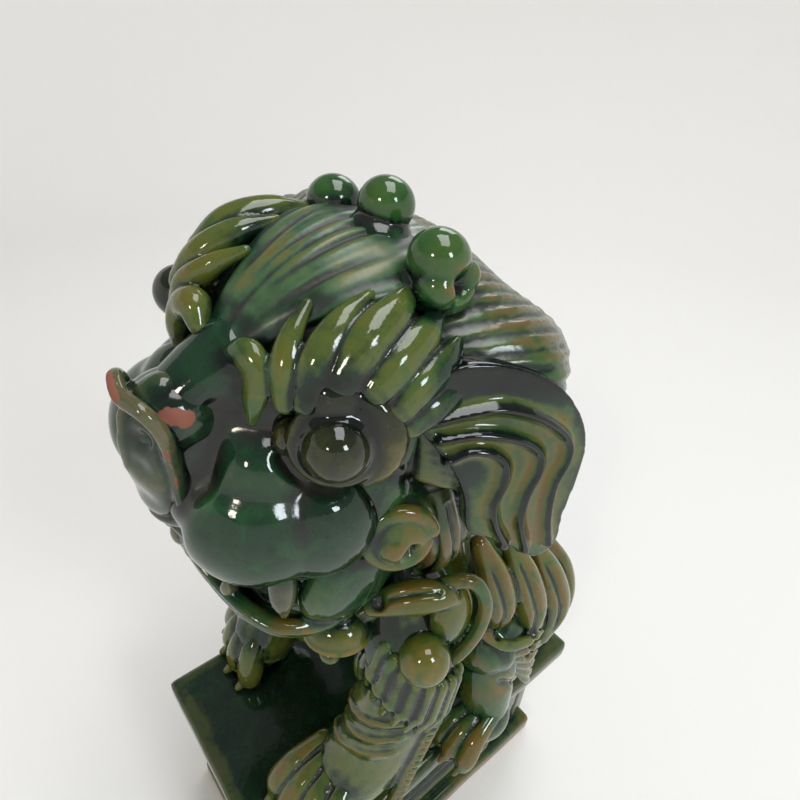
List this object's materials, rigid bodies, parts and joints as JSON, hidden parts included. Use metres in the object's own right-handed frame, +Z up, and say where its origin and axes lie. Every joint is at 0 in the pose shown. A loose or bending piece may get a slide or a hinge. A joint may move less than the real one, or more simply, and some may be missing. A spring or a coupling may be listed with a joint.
{
  "type": "foo dog statue",
  "caption": "Glazed ceramic guardian lion sitting upright on a tall hollow rectangular plinth, a free-standing ornament.",
  "frame": {"origin": "middle of the plinth's flat underside, where the statue stands", "axes": "+Z up through the head; the lion faces -Y; +X is the lion's left side"},
  "size_m": [0.1104, 0.131, 0.2457],
  "materials": {
    "green_glaze": "thick transparent green lead glaze, pooled nearly black in hollows and thin and amber on edges",
    "plinth_glaze": "dark green glaze, olive along the edges",
    "combed_glaze": "green glaze over combed hair, brown and amber on every ridge, dusty in the grooves",
    "olive_glaze": "brighter olive green glaze on the raised balls and curls",
    "eye_glaze": "glossy brown-black to dark olive glaze",
    "mouth_glaze": "thin grey-green glaze",
    "chipped_glaze": "green glaze rubbed through to rust-red clay along the rim",
    "bare_stoneware": "unglazed buff-brown stoneware where it stood in the kiln, glaze on its edge"
  },
  "bodies": {
    "root": {"plinth_top": "plinth_glaze", "plinth_foot": "bare_stoneware", "plinth_wall_front": "plinth_glaze", "plinth_wall_back": "plinth_glaze", "plinth_wall_left": "plinth_glaze", "plinth_wall_right": "plinth_glaze", "torso_left": "green_glaze", "torso_right": "green_glaze", "front_leg_left": "green_glaze", "front_leg_right": "green_glaze", "front_paw_left": "green_glaze", "front_paw_right": "green_glaze", "elbow_fringe_left": "combed_glaze", "elbow_fringe_right": "combed_glaze", "haunch_left": "green_glaze", "haunch_right": "green_glaze", "hind_paw_left": "green_glaze", "hind_paw_right": "green_glaze", "flank_hair_left": "combed_glaze", "flank_hair_right": "combed_glaze", "tail": "combed_glaze", "head_shell": "green_glaze", "snout": "green_glaze", "nose": "chipped_glaze", "lower_jaw": "green_glaze", "tongue": "mouth_glaze", "teeth": "mouth_glaze", "fangs": "mouth_glaze", "eyelid_left": "green_glaze", "eyelid_right": "green_glaze", "eyeball_left": "eye_glaze", "eyeball_right": "eye_glaze", "brow_left": "combed_glaze", "brow_right": "combed_glaze", "forehead_crest": "green_glaze", "ear_left": "green_glaze", "ear_right": "green_glaze", "cheek_curl_left": "olive_glaze", "cheek_curl_right": "olive_glaze", "crown_curl_left": "olive_glaze", "crown_curl_middle": "olive_glaze", "crown_curl_right": "olive_glaze", "mane_back": "combed_glaze", "mane_left": "combed_glaze", "mane_right": "combed_glaze", "beard_left": "combed_glaze", "beard_right": "combed_glaze", "chin_tuft": "combed_glaze", "collar": "green_glaze", "bell": "olive_glaze", "bell_nub": "olive_glaze", "tassel_left": "green_glaze", "tassel_right": "green_glaze", "scroll_left": "green_glaze", "scroll_right": "green_glaze"}
  },
  "joints": []
}
